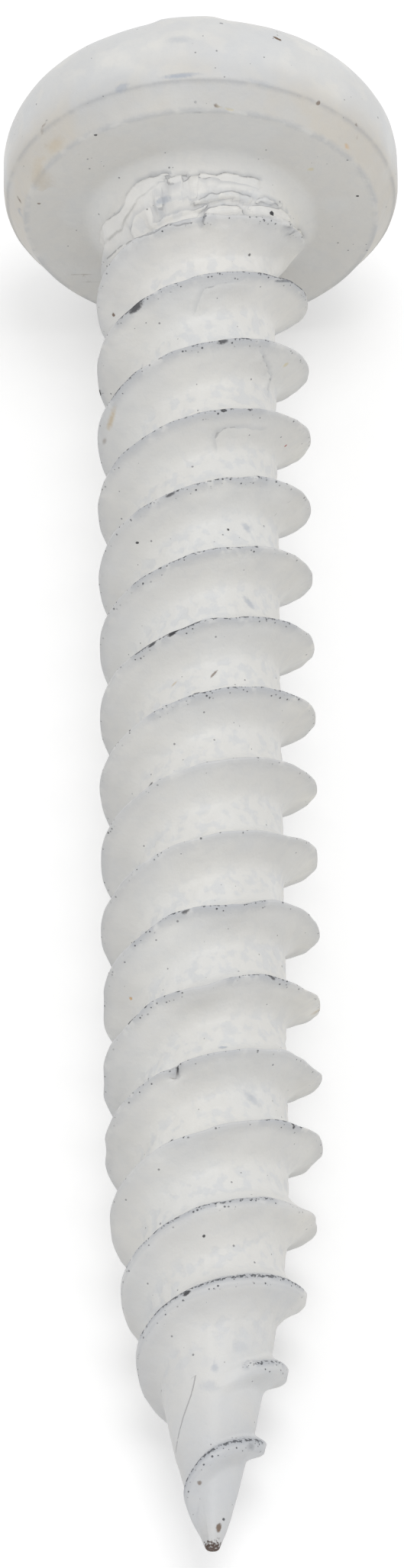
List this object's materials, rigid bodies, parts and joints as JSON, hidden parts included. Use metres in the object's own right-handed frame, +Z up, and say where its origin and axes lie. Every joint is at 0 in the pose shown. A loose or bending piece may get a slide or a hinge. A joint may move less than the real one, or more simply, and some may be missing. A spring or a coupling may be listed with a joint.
{
  "type": "pan head screw",
  "caption": "White painted pan head tapping screw with a cross recess, a two-start rolled thread and a gimlet point, lying on its side.",
  "frame": {"origin": "bottom centre of the bounding box of the screw as it lies", "axes": "the screw lies along Y, with its head towards +Y and its point towards -Y; +Z is up from the table"},
  "size_m": [0.008, 0.0344, 0.0079],
  "materials": {
    "white_paint": "satin white paint over steel, with small dark chips along the thread crests"
  },
  "bodies": {
    "root": {"screw": "white_paint"}
  },
  "joints": []
}
